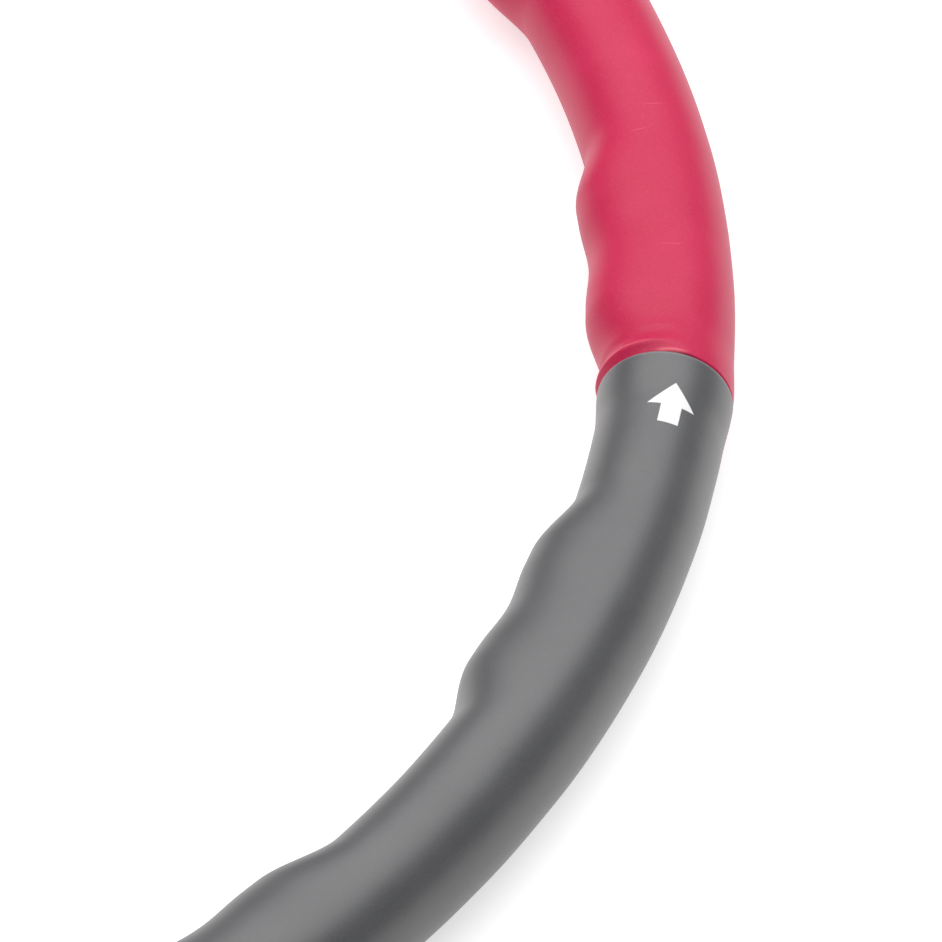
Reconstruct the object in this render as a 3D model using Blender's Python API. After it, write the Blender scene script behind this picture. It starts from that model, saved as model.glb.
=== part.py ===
"""A foam-covered exercise hoop that plugs together from equal curved sections.

The hoop lies flat: +Z is up, z = 0 is the surface it lies on, and the hoop's centre is at x = y = 0.
Section 1 starts on the +X axis and the sections follow each other counter-clockwise. Every piece of a
section hangs from an empty at the section's start. That joint frame has X pointing outwards, Y along
the hoop and Z up, and the section pulls off its neighbour along +Y.
"""

import math

import bmesh
import bpy
from mathutils import Matrix, Vector

# Driving dimensions, in metres.
SECTIONS = 8
HOOP_DIAMETER = 0.950  # over the outside of the foam
FOAM_DIAMETER = 0.040  # of a plain stretch of foam
TUBE_DIAMETER = 0.022
TUBE_WALL = 0.0008
STRAIGHT_END = 0.032  # the stretch of tube at each end that isn't bent

# The massage humps on the inner side of the foam.
HUMP_GROUPS = 2  # pairs of humps on each section
HUMP_HEIGHT = 0.0063
HUMP_SPACING = 0.044  # between the two crests of a pair
HUMP_VALLEY = 0.0014  # depth of the dip between them
HUMP_GROUP_LENGTH = 0.112
HUMP_FLANK = 0.032
HUMP_SHIFT = 0.022  # how far the pairs stand towards the section's start

# The plug, the socket and the latch between two sections.
COLLAR_THICKNESS = 0.0016
SPIGOT_DIAMETER = 0.015
SPIGOT_LENGTH = 0.030
SPIGOT_CHAMFER = 0.0012
PLUG_BORE = 0.0108
PIN_DIAMETER = 0.003
PIN_FROM_JOINT = 0.016
BUTTON_DIAMETER = 0.006
BUTTON_FROM_JOINT = 0.022
BUTTON_ANGLE = math.radians(77)  # from straight outwards, turning up
BUTTON_DOME = 0.0008
BUTTON_PROUD = 0.0005  # how far the button's top stands out of the tube
STRIP_WIDTH = 0.004
STRIP_THICKNESS = 0.0006
STRIP_END_MARGIN = 0.0015  # from the strip's ends to the spigot's tip

CLEARANCE = 0.0003  # between any two pieces that touch on the real hoop

# How finely the round shapes are divided.
FOAM_SIDES = 16
FOAM_STEPS = 20
TUBE_SIDES = 12
BENT_STEPS = 4
PIN_SIDES = 10
BUTTON_SIDES = 12

HOOP_RADIUS = (HOOP_DIAMETER - FOAM_DIAMETER) / 2  # of the tube's centreline
SECTION_ANGLE = 2 * math.pi / SECTIONS
SECTION_LENGTH = HOOP_RADIUS * SECTION_ANGLE
END_ANGLE = STRAIGHT_END / HOOP_RADIUS
TUBE_RADIUS = TUBE_DIAMETER / 2
TUBE_BORE_RADIUS = TUBE_RADIUS - TUBE_WALL
FOAM_BORE_RADIUS = TUBE_RADIUS + CLEARANCE
FIT_RADIUS = TUBE_BORE_RADIUS - CLEARANCE  # of what sits inside the tube
TUBE_GAP = COLLAR_THICKNESS / 2 + CLEARANCE  # from the joint plane to each tube's end
SPIGOT_RADIUS = SPIGOT_DIAMETER / 2
CUT_PAST = 0.002  # how far a cutter runs past what it cuts

ACROSS = Vector((math.cos(BUTTON_ANGLE), 0, math.sin(BUTTON_ANGLE)))  # the way the button points


def clear_scene():
    for old in list(bpy.data.objects):
        bpy.data.objects.remove(old)


def material(name, colour, roughness, metallic=0.0):
    made = bpy.data.materials.new(name)
    made.use_nodes = True
    shader = made.node_tree.nodes["Principled BSDF"]
    shader.inputs["Base Color"].default_value = (*colour, 1)
    shader.inputs["Roughness"].default_value = roughness
    shader.inputs["Metallic"].default_value = metallic
    return made


def on_hoop(angle):
    """The point of the centreline at an angle from the section's start, in the joint frame."""
    return Vector((HOOP_RADIUS * (math.cos(angle) - 1), HOOP_RADIUS * math.sin(angle), 0))


def ring(centre, turn, outer, inner, sides):
    """A ring of corners across the centreline, with a flat facing straight down.

    The corners lie outer from the centreline on the side away from the hoop's centre. On the side
    towards it, inner takes outer's place for the distance sideways.
    """
    out = Vector((math.cos(turn), math.sin(turn), 0))
    points = []
    for side in range(sides):
        around = math.tau * (side + 0.5) / sides
        reach = outer if math.cos(around) > 0 else inner
        points.append(centre + out * (reach * math.cos(around)) + Vector((0, 0, outer * math.sin(around))))
    return points


def loft(name, rings, closed_on_itself=False):
    """A mesh through rings of points, capped at both ends or joined last to first."""
    shape = bmesh.new()
    loops = [[shape.verts.new(point) for point in points] for points in rings]
    pairs = list(zip(loops, loops[1:]))
    if closed_on_itself:
        pairs.append((loops[-1], loops[0]))
    for one, other in pairs:
        for here in range(len(one)):
            after = (here + 1) % len(one)
            shape.faces.new((one[here], one[after], other[after], other[here]))
    if not closed_on_itself:
        shape.faces.new(loops[0])
        shape.faces.new(loops[-1])
    bmesh.ops.recalc_face_normals(shape, faces=shape.faces)
    mesh = bpy.data.meshes.new(name)
    shape.to_mesh(mesh)
    shape.free()
    return mesh


def tube_stations(end_gap):
    """(centre, turn) where the tube bends: a straight end, equal chords, and a straight end."""
    bent = SECTION_ANGLE - 2 * END_ANGLE
    turns = [END_ANGLE + bent * step / BENT_STEPS for step in range(BENT_STEPS + 1)]
    stations = [(on_hoop(turn), turn) for turn in turns]
    along_first = stations[0][0].normalized()
    start = along_first * (end_gap / math.cos(END_ANGLE / 2))
    finish_point = on_hoop(SECTION_ANGLE)
    along_last = (stations[-1][0] - finish_point).normalized()
    finish = finish_point + along_last * (end_gap / math.cos(END_ANGLE / 2))
    return [(start, 0)] + stations + [(finish, SECTION_ANGLE)]


def hump(along):
    """How far the foam swells towards the hoop's centre, at a distance along the section."""
    height = 0
    for group in range(HUMP_GROUPS):
        middle = (group + 0.5) * SECTION_LENGTH / HUMP_GROUPS - HUMP_SHIFT
        away = abs(along - middle)
        rise = min(max((HUMP_GROUP_LENGTH / 2 - away) / HUMP_FLANK, 0), 1)
        smooth = rise * rise * (3 - 2 * rise)
        dip = 0
        if away < HUMP_SPACING / 2:
            dip = HUMP_VALLEY * (1 + math.cos(math.tau * away / HUMP_SPACING)) / 2
        height += smooth * (HUMP_HEIGHT - dip)
    return height


def foam_outside():
    """The sleeve's outer skin, a polygon whose flats lie on the round sleeve."""
    to_corner = 1 / math.cos(math.pi / FOAM_SIDES)
    edge = CLEARANCE / 2 / HOOP_RADIUS
    rings = []
    for step in range(FOAM_STEPS + 1):
        turn = edge + (SECTION_ANGLE - 2 * edge) * step / FOAM_STEPS
        plain = FOAM_DIAMETER / 2 * to_corner
        swell = hump(turn * HOOP_RADIUS)
        rings.append(ring(on_hoop(turn), turn, plain, plain + swell, FOAM_SIDES))
    return loft("foam_sleeve", rings)


def swept(name, radius, end_gap):
    rings = [ring(centre, turn, radius, radius, TUBE_SIDES) for centre, turn in tube_stations(end_gap)]
    return loft(name, rings)


def hollow_tube():
    stations = tube_stations(TUBE_GAP)
    outside = [ring(centre, turn, TUBE_RADIUS, TUBE_RADIUS, TUBE_SIDES) for centre, turn in stations]
    inside = [
        ring(centre, turn, TUBE_BORE_RADIUS, TUBE_BORE_RADIUS, TUBE_SIDES) for centre, turn in stations
    ]
    return loft("core_tube", outside + inside[::-1], closed_on_itself=True)


def plug_shape():
    """Root along the tube's straight end, collar at the joint, spigot straight back along -Y."""
    root_way = on_hoop(END_ANGLE).normalized()
    root_end = root_way * (STRAIGHT_END - CLEARANCE)
    face = Vector((0, COLLAR_THICKNESS / 2, 0))
    tip = Vector((0, -SPIGOT_LENGTH, 0))
    before_tip = Vector((0, SPIGOT_CHAMFER - SPIGOT_LENGTH, 0))
    bore = PLUG_BORE / 2
    outline = (
        (root_end, END_ANGLE / 2, FIT_RADIUS),
        (face, 0, FIT_RADIUS),
        (face, 0, TUBE_RADIUS),
        (-face, 0, TUBE_RADIUS),
        (-face, 0, SPIGOT_RADIUS),
        (before_tip, 0, SPIGOT_RADIUS),
        (tip, 0, SPIGOT_RADIUS - SPIGOT_CHAMFER),
        (tip, 0, bore),
        (face, 0, bore),
        (root_end, END_ANGLE / 2, bore),
    )
    rings = [ring(centre, turn, radius, radius, TUBE_SIDES) for centre, turn, radius in outline]
    return loft("plug", rings, closed_on_itself=True)


def liner_shape():
    """Bush in the neighbour's tube end: its outside follows that tube, its bore follows the spigot."""
    tube_way = on_hoop(-END_ANGLE).normalized()
    length = SPIGOT_LENGTH + CLEARANCE
    mouth = Vector((0, -TUBE_GAP, 0))
    deep_outside = tube_way * length
    deep_bore = Vector((0, deep_outside.y, 0))
    bore = SPIGOT_RADIUS + CLEARANCE
    outline = (
        (tube_way * TUBE_GAP, FIT_RADIUS),
        (deep_outside, FIT_RADIUS),
        (deep_bore, bore),
        (mouth, bore),
    )
    rings = [ring(centre, 0, radius, radius, TUBE_SIDES) for centre, radius in outline]
    return loft("socket_liner", rings, closed_on_itself=True)


def rod(name, place, low, high, radius, sides, dome=0.0):
    """A round rod along ACROSS between two heights, with its top edge cut back by dome."""
    width = Vector((0, 1, 0))
    depth = ACROSS.cross(width)
    levels = [(low, radius), (high - dome, radius)]
    if dome:
        levels.append((high, radius - dome))
    rings = []
    for level, reach in levels:
        turns = [math.tau * side / sides for side in range(sides)]
        rings.append(
            [place + ACROSS * level + (width * math.cos(t) + depth * math.sin(t)) * reach for t in turns]
        )
    return loft(name, rings)


def strip_shape():
    """The V-shaped spring strip: a lower leg, a bend at the deep end and an upper leg."""
    half_width = STRIP_WIDTH / 2
    bore_flat = PLUG_BORE / 2 * math.cos(math.pi / TUBE_SIDES)
    top = math.sqrt(bore_flat**2 - half_width**2) - CLEARANCE - STRIP_THICKNESS / 2
    free_end = STRIP_END_MARGIN - SPIGOT_LENGTH
    bend_end = -COLLAR_THICKNESS
    shoulder = -BUTTON_FROM_JOINT + BUTTON_DIAMETER
    middle = [
        (free_end, -top),
        (shoulder, -top),
        (bend_end - top / 3, -top / 3),
        (bend_end, 0),
        (bend_end - top / 3, top / 3),
        (shoulder, top),
        (free_end, top),
    ]
    side_way = ACROSS.cross(Vector((0, 1, 0)))
    rings = []
    for index, (along, level) in enumerate(middle):
        before = Vector(middle[max(index - 1, 0)])
        after = Vector(middle[min(index + 1, len(middle) - 1)])
        way = (after - before).normalized()
        off = Vector((-way.y, way.x)) * STRIP_THICKNESS / 2
        section = []
        for sign, side in ((1, 1), (1, -1), (-1, -1), (-1, 1)):
            flat = Vector((along, level)) + off * sign
            section.append(Vector((0, flat.x, 0)) + ACROSS * flat.y + side_way * (side * half_width))
        rings.append(section)
    return loft("spring_clip", rings), top


def boolean_mesh(name, mesh, operation, *others):
    """The mesh after each of the others has been cut from it or joined to it."""
    work = bpy.data.objects.new(name, mesh)
    bpy.context.scene.collection.objects.link(work)
    helpers = []
    for other in others:
        helper = bpy.data.objects.new(name + "_helper", other)
        helper.hide_render = True
        helper.display_type = "WIRE"
        bpy.context.scene.collection.objects.link(helper)
        helpers.append(helper)
        modifier = work.modifiers.new("join", "BOOLEAN")
        modifier.operation = operation
        modifier.solver = "EXACT"
        modifier.object = helper
    graph = bpy.context.evaluated_depsgraph_get()
    graph.update()
    made = bpy.data.meshes.new_from_object(work.evaluated_get(graph))
    made.name = name
    for used in [work] + helpers:
        bpy.data.objects.remove(used)
    return made


def moved_back(mesh):
    """The mesh turned from this section's end round to its start, so both ends can be cut alike."""
    copy = mesh.copy()
    copy.transform(Matrix.Translation(on_hoop(SECTION_ANGLE)) @ Matrix.Rotation(SECTION_ANGLE, 4, "Z"))
    return copy


def piece_meshes():
    """One mesh for each kind of piece, in the joint frame of its own section's start."""
    latch_place = Vector((0, -BUTTON_FROM_JOINT, 0))
    pin_place = on_hoop(END_ANGLE).normalized() * PIN_FROM_JOINT
    pin_low = PLUG_BORE / 2 + CLEARANCE
    pin_hole_radius = PIN_DIAMETER / 2 + CLEARANCE
    button_hole_radius = BUTTON_DIAMETER / 2 + CLEARANCE
    past = TUBE_RADIUS + CUT_PAST

    button_hole = rod("button_hole", latch_place, 0, past, button_hole_radius, BUTTON_SIDES)
    pin_hole = rod("pin_hole", pin_place, 0, past, pin_hole_radius, PIN_SIDES)
    foam_bore = swept("foam_bore", FOAM_BORE_RADIUS, -CUT_PAST)

    strip, strip_top = strip_shape()
    button_top = TUBE_RADIUS + BUTTON_PROUD
    button = rod(
        "button", latch_place, strip_top, button_top, BUTTON_DIAMETER / 2, BUTTON_SIDES, BUTTON_DOME
    )
    button_pocket = rod(
        "button_pocket", latch_place, 0, button_top + CLEARANCE, button_hole_radius, BUTTON_SIDES
    )
    pin_reach = FOAM_BORE_RADIUS * math.cos(math.pi / TUBE_SIDES) - CLEARANCE
    pin_top = math.sqrt(pin_reach**2 - (PIN_DIAMETER / 2) ** 2)
    return {
        "foam_sleeve": boolean_mesh(
            "foam_sleeve", foam_outside(), "DIFFERENCE", foam_bore, moved_back(button_pocket)
        ),
        "core_tube": boolean_mesh(
            "core_tube", hollow_tube(), "DIFFERENCE", pin_hole, moved_back(button_hole)
        ),
        "plug": boolean_mesh("plug", plug_shape(), "DIFFERENCE", button_hole, pin_hole),
        "plug_pin": rod("plug_pin", pin_place, pin_low, pin_top, PIN_DIAMETER / 2, PIN_SIDES),
        "spring_clip": boolean_mesh("spring_clip", strip, "UNION", button),
        "socket_liner": moved_back(
            boolean_mesh("socket_liner", liner_shape(), "DIFFERENCE", button_hole)
        ),
    }


def build():
    clear_scene()
    foams = (
        material("grey_foam", (0.17, 0.17, 0.18), 0.6),
        material("red_foam", (0.66, 0.045, 0.13), 0.6),
    )
    steel = material("zinc_plated_steel", (0.62, 0.62, 0.64), 0.35, 1.0)
    spring_steel = material("spring_steel", (0.5, 0.5, 0.52), 0.3, 1.0)
    black_plastic = material("black_plastic", (0.03, 0.03, 0.032), 0.5)
    white_plastic = material("natural_plastic", (0.78, 0.77, 0.73), 0.45)
    finishes = {
        "core_tube": steel,
        "plug": black_plastic,
        "plug_pin": steel,
        "spring_clip": spring_steel,
        "socket_liner": white_plastic,
    }
    meshes = piece_meshes()
    meshes["foam_sleeve"].materials.append(None)
    for kind, mesh in meshes.items():
        mesh.shade_smooth()
        mesh.set_sharp_from_angle(angle=math.radians(40))
        if kind in finishes:
            mesh.materials.append(finishes[kind])
    for number in range(1, SECTIONS + 1):
        start_angle = (number - 1) * SECTION_ANGLE
        joint = bpy.data.objects.new(f"joint_frame_{number}", None)
        joint.location = (
            HOOP_RADIUS * math.cos(start_angle),
            HOOP_RADIUS * math.sin(start_angle),
            FOAM_DIAMETER / 2,
        )
        joint.rotation_euler.z = start_angle
        bpy.context.scene.collection.objects.link(joint)
        for kind, mesh in meshes.items():
            piece = bpy.data.objects.new(f"{kind}_{number}", mesh)
            piece.parent = joint
            bpy.context.scene.collection.objects.link(piece)
            if kind == "foam_sleeve":
                piece.material_slots[0].link = "OBJECT"
                piece.material_slots[0].material = foams[number % 2]


build()
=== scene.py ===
# %% [markdown]
# # A foam-covered exercise hoop
# The hoop is eight curved sections that plug together. Each section is a bent steel tube with a plastic
# plug in one end, a plastic bush in the other, a spring clip that latches them, and a soft moulded foam
# sleeve over everything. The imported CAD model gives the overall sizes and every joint. This script
# gives the looks: it models each kind of piece once, finely, and copies it round the hoop.

# %% Load the frame
import math

import bpy
import numpy as np
from mathutils import Matrix, Vector, noise


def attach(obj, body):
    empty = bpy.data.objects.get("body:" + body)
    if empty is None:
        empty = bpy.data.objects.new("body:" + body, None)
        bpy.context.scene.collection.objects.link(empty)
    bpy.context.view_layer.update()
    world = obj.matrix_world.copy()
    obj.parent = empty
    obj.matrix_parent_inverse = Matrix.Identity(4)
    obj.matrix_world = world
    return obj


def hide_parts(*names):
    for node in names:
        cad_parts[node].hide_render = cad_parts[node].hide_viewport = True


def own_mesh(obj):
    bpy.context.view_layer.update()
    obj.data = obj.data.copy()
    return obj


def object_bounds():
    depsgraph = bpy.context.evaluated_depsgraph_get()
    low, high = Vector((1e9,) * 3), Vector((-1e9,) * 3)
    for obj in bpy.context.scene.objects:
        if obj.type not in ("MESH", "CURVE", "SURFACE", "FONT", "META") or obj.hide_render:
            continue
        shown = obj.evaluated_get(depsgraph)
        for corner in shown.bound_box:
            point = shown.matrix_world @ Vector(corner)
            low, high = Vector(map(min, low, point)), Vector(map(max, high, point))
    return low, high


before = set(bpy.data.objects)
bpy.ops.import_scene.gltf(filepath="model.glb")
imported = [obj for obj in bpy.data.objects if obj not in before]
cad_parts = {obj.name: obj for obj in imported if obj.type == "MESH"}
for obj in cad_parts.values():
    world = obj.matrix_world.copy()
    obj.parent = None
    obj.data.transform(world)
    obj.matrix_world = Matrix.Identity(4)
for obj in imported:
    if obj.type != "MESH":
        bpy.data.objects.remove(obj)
cad_low, cad_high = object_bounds()
print("CAD box", tuple(cad_low), tuple(cad_high))

# %% [markdown]
# ## Sizes
# The overall sizes are read from the CAD box, so they can't drift from it: the hoop's width, and the
# thickness of the foam, which is the box's height. The number of sections is the number of sleeves.
# The small sizes of the latch repeat the CAD's own values, because its solids are faceted and a box
# round a facet is a little smaller than the round piece that it stands for.

# %% Sizes from the frame
SECTIONS = sum(name.startswith("foam_sleeve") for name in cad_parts)
SECTION_ANGLE = math.tau / SECTIONS
FOAM_RADIUS = (cad_high.z - cad_low.z) / 2
HOOP_RADIUS = (cad_high.x - cad_low.x) / 2 - FOAM_RADIUS
SECTION_LENGTH = HOOP_RADIUS * SECTION_ANGLE
JOINT_CENTRE = Vector((HOOP_RADIUS, 0, FOAM_RADIUS))
print("sections", SECTIONS, "foam radius", FOAM_RADIUS, "hoop radius", HOOP_RADIUS)

# %% Sizes of the core
TUBE_RADIUS = 0.011
TUBE_WALL = 0.0008
STRAIGHT_END = 0.032
CLEARANCE = 0.0003
END_ANGLE = STRAIGHT_END / HOOP_RADIUS
COLLAR_THICKNESS = 0.0016
BUTTON_RADIUS = 0.003
BUTTON_FROM_JOINT = 0.022
BUTTON_ANGLE = math.radians(77)
BUTTON_PROUD = 0.0005
BUTTON_WAY = Vector((math.cos(BUTTON_ANGLE), 0, math.sin(BUTTON_ANGLE)))
print("the tube is straight for", STRAIGHT_END, "at each end, of a section", SECTION_LENGTH, "long")

# %% [markdown]
# ## Camera
# The hoop is seen close up with a very long lens from well above, so that its curve sweeps through the
# picture and only two of the eight sections show. The camera is placed by what it looks at, how high it
# stands above the horizon and how far away it is.

# %% Camera
CAMERA_ELEVATION = math.radians(40)
CAMERA_TURN = math.radians(5.69)
CAMERA_DISTANCE = 3.789
CAMERA_AIM = Vector((0.39859, -0.03853, FOAM_RADIUS))
CAMERA_LENS = 472.45

camera = bpy.data.objects.new("camera", bpy.data.cameras.new("camera"))
bpy.context.scene.collection.objects.link(camera)
camera.data.lens = CAMERA_LENS
camera.data.clip_end = 100
camera.rotation_euler = (math.pi / 2 - CAMERA_ELEVATION, 0, CAMERA_TURN)
camera_way = camera.rotation_euler.to_matrix() @ Vector((0, 0, -1))
camera.location = CAMERA_AIM - camera_way * CAMERA_DISTANCE
bpy.context.scene.camera = camera
print("camera at", tuple(round(x, 4) for x in camera.location))

# %% [markdown]
# ## Floor and light
# The hoop lies on a white light table, whose surface glows a little so that shadows stay pale. One
# large soft panel hangs over it and reaches far behind it. The tops of the sleeves mirror the panel and
# their sides mirror the table, and between the two lies a darker stripe that shows how round they are.
# The panel is hidden from the camera, so it never stands in another view.

# %% Floor
FLOOR_SIZE = 60
FLOOR_TONE = 0.58
FLOOR_GLOW = 0.63

bpy.ops.object.select_all(action="DESELECT")
bpy.ops.mesh.primitive_plane_add(size=FLOOR_SIZE, location=(0, 0, 0))
floor = bpy.context.object
floor.name = "floor"
floor_material = bpy.data.materials.new("pale_floor")
floor_material.use_nodes = True
floor_shader = floor_material.node_tree.nodes["Principled BSDF"]
floor_shader.inputs["Base Color"].default_value = (FLOOR_TONE, FLOOR_TONE, FLOOR_TONE, 1)
floor_shader.inputs["Roughness"].default_value = 0.6
floor_shader.inputs["Specular IOR Level"].default_value = 0.2
floor_shader.inputs["Emission Color"].default_value = (1, 1, 1, 1)
floor_shader.inputs["Emission Strength"].default_value = FLOOR_GLOW
floor.data.materials.append(floor_material)
print("floor of", FLOOR_SIZE, "m, glowing with strength", FLOOR_GLOW)

# %% Light
PANEL_HEIGHT = 2.4
PANEL_BEHIND = 1.5  # from the hoop's centre to the panel's, away from the camera
PANEL_WIDTH = 5.0
PANEL_DEPTH = 4.5
PANEL_POWER = 172
ROOM_LIGHT = 0.2

light = bpy.data.lights.new("top_panel", "AREA")
light.shape = "RECTANGLE"
light.size = PANEL_WIDTH
light.size_y = PANEL_DEPTH
light.energy = PANEL_POWER
panel = bpy.data.objects.new("top_panel", light)
panel.location = (0, PANEL_BEHIND, PANEL_HEIGHT)  # an unturned area light shines straight down
panel.visible_camera = False
bpy.context.scene.collection.objects.link(panel)

world = bpy.data.worlds.new("studio")
world.use_nodes = True
world.node_tree.nodes["Background"].inputs["Color"].default_value = (1, 1, 1, 1)
world.node_tree.nodes["Background"].inputs["Strength"].default_value = ROOM_LIGHT
bpy.context.scene.world = world
bpy.context.scene.view_settings.view_transform = "Standard"
print("panel of", PANEL_POWER, "W at", tuple(panel.location))

# %% [markdown]
# ## Node groups
# Effects that several finishes share are built once as node groups. A few helpers come first, because
# a group is mostly arithmetic: each helper makes one node, sets or links its inputs and gives back its
# output.

# %% Helpers for nodes
NOISE_LOW = 0.35  # most of a noise's values lie between these two
NOISE_HIGH = 0.7


def new_group(name, inputs, outputs):
    """A shader node group with named sockets. Returns it with its two end nodes."""
    group = bpy.data.node_groups.new(name, "ShaderNodeTree")
    for label, value in inputs.items():
        kind = "NodeSocketVector" if value is None else "NodeSocketFloat"
        socket = group.interface.new_socket(name=label, in_out="INPUT", socket_type=kind)
        if value is not None:
            socket.default_value = value
    for label in outputs:
        group.interface.new_socket(name=label, in_out="OUTPUT", socket_type="NodeSocketFloat")
    return group, group.nodes.new("NodeGroupInput"), group.nodes.new("NodeGroupOutput")


def feed(tree, node, socket, value):
    """Sets a node's input to a number, colour or vector, or links another node's output to it."""
    if isinstance(value, bpy.types.NodeSocket):
        tree.links.new(value, node.inputs[socket])
    else:
        node.inputs[socket].default_value = value


def compute(tree, operation, *values):
    """A Math node's output."""
    node = tree.nodes.new("ShaderNodeMath")
    node.operation = operation
    for socket, value in enumerate(values):
        feed(tree, node, socket, value)
    return node.outputs[0]


def noise_of(tree, coordinates, scale, detail=2.0, roughness=0.5):
    """A Noise Texture's value over the given coordinates."""
    node = tree.nodes.new("ShaderNodeTexNoise")
    feed(tree, node, "Vector", coordinates)
    feed(tree, node, "Scale", scale)
    feed(tree, node, "Detail", detail)
    feed(tree, node, "Roughness", roughness)
    return node.outputs["Fac"]


def remap(tree, value, from_low, from_high, to_low=0.0, to_high=1.0, smooth=False):
    """A Map Range node's output."""
    node = tree.nodes.new("ShaderNodeMapRange")
    node.interpolation_type = "SMOOTHSTEP" if smooth else "LINEAR"
    feed(tree, node, "Value", value)
    feed(tree, node, "From Min", from_low)
    feed(tree, node, "From Max", from_high)
    feed(tree, node, "To Min", to_low)
    feed(tree, node, "To Max", to_high)
    return node.outputs["Result"]


def mix_colours(tree, share, first, second):
    """A Mix node's colour: the first at share 0, the second at share 1."""
    node = tree.nodes.new("ShaderNodeMix")
    node.data_type = "RGBA"
    feed(tree, node, 0, share)
    feed(tree, node, 6, first)
    feed(tree, node, 7, second)
    return node.outputs[2]


def place_group(tree, group, **values):
    """A group node in a tree, with its named inputs set or linked."""
    node = tree.nodes.new("ShaderNodeGroup")
    node.node_tree = group
    for label, value in values.items():
        feed(tree, node, label.replace("_", " "), value)
    return node


def new_material(name):
    """A material with its shader and the object's coordinates."""
    material = bpy.data.materials.new(name)
    material.use_nodes = True
    tree = material.node_tree
    place = tree.nodes.new("ShaderNodeTexCoord").outputs["Object"]
    return material, tree, tree.nodes["Principled BSDF"], place


def add_bump(tree, shader, height, strength, distance):
    """A Bump node between a height and the shader's normal."""
    bump = tree.nodes.new("ShaderNodeBump")
    bump.inputs["Strength"].default_value = strength
    bump.inputs["Distance"].default_value = distance
    tree.links.new(height, bump.inputs["Height"])
    tree.links.new(bump.outputs["Normal"], shader.inputs["Normal"])


# %% [markdown]
# The skin of moulded foam is closed cells a fraction of a millimetre wide. They roughen the surface,
# fleck it with paler cells and leave it faintly cloudy. This group puts out a height for the bump, a
# fine grain and a broad cloudiness, and each foam decides what to do with them.

# %% Foam skin group
CLOUDS_PER_METRE = 28
DENTS_PER_METRE = 60
GRAIN_HEIGHT = 0.35  # of the cells, beside 1 for the wide dents


def make_foam_skin():
    group, start, finish = new_group(
        "foam_skin", {"Coordinates": None, "Cell Size": 0.0006}, ["Height", "Cloud", "Grain"]
    )
    place = start.outputs["Coordinates"]
    cells_per_metre = compute(group, "DIVIDE", 1.0, start.outputs["Cell Size"])
    grain = noise_of(group, place, cells_per_metre, detail=3.0, roughness=0.6)
    cloud = noise_of(group, place, CLOUDS_PER_METRE, detail=4.0, roughness=0.55)
    dents = noise_of(group, place, DENTS_PER_METRE, detail=1.0)
    height = compute(group, "MULTIPLY_ADD", grain, GRAIN_HEIGHT, dents)
    for label, value in (("Height", height), ("Cloud", cloud), ("Grain", grain)):
        group.links.new(value, finish.inputs[label])
    return group


foam_skin = make_foam_skin()
print("foam skin group:", len(foam_skin.nodes), "nodes")

# %% [markdown]
# Foam that has been bent and gripped keeps a few short creases across the sleeve. One crease is a
# short line: a point is on it if it is near the crease's place along the sleeve, which bends a little
# with the distance around the sleeve, and not further around than half the crease's length.

# %% Crease group
CREASE_BEND = 25  # metres along for each square metre around


def make_crease():
    group, start, finish = new_group(
        "skin_crease",
        {
            "Along": 0.0,
            "Around": 0.0,
            "Place Along": 0.0,
            "Place Around": 0.0,
            "Half Length": 0.004,
            "Half Width": 0.0003,
        },
        ["Crease"],
    )
    sideways = compute(group, "SUBTRACT", start.outputs["Around"], start.outputs["Place Around"])
    bend = compute(group, "MULTIPLY", compute(group, "MULTIPLY", sideways, sideways), CREASE_BEND)
    line = compute(group, "ADD", start.outputs["Place Along"], bend)
    off_line = compute(group, "ABSOLUTE", compute(group, "SUBTRACT", start.outputs["Along"], line))
    thin = remap(group, off_line, 0.0, start.outputs["Half Width"], 1.0, 0.0, smooth=True)
    from_middle = compute(group, "ABSOLUTE", sideways)
    short = remap(group, from_middle, 0.0, start.outputs["Half Length"], 1.0, 0.0, smooth=True)
    group.links.new(compute(group, "MULTIPLY", thin, short), finish.inputs["Crease"])
    return group


skin_crease = make_crease()
print("crease group:", len(skin_crease.nodes), "nodes")

# %% [markdown]
# ## The printed arrow
# A plain white arrow is printed on each sleeve over the button of the latch, and points at the joint
# where the sections part. Ink lies flat on the foam, so the arrow is a mask in the foam's material and
# not a solid. The mask is built from distances: inside the head, the distance from the middle line is
# less than a width that grows from the tip, and the stem is a plain strip behind the head.

# %% Printed arrow group
HEAD_SHARE = 0.56
INK_EDGE = 0.00025
STEM_OVERLAP = 4 * INK_EDGE  # how far the stem reaches into the head, so that no line parts them


def make_arrow():
    group, start, finish = new_group(
        "printed_arrow",
        {
            "Along": 0.0,
            "Around": 0.0,
            "Tip": 0.0,
            "Length": 0.019,
            "Half Width": 0.0078,
            "Stem Half Width": 0.0034,
        },
        ["Mask"],
    )
    length = start.outputs["Length"]
    behind_tip = compute(group, "SUBTRACT", start.outputs["Tip"], start.outputs["Along"])
    sideways = compute(group, "ABSOLUTE", start.outputs["Around"])
    head_length = compute(group, "MULTIPLY", length, HEAD_SHARE)
    head_share = compute(group, "DIVIDE", behind_tip, head_length)
    width_here = compute(group, "MULTIPLY", head_share, start.outputs["Half Width"])
    within_width = compute(group, "SUBTRACT", width_here, sideways)
    before_base = compute(group, "SUBTRACT", head_length, behind_tip)
    head = compute(group, "MINIMUM", within_width, before_base)
    within_stem = compute(group, "SUBTRACT", start.outputs["Stem Half Width"], sideways)
    before_end = compute(group, "SUBTRACT", length, behind_tip)
    behind_base = compute(group, "SUBTRACT", STEM_OVERLAP, before_base)
    stem = compute(group, "MINIMUM", compute(group, "MINIMUM", within_stem, before_end), behind_base)
    inside = compute(group, "MAXIMUM", head, stem)
    mask = remap(group, inside, 0.0, INK_EDGE, smooth=True)
    group.links.new(mask, finish.inputs["Mask"])
    return group


printed_arrow = make_arrow()
print("arrow group:", len(printed_arrow.nodes), "nodes")

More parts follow.
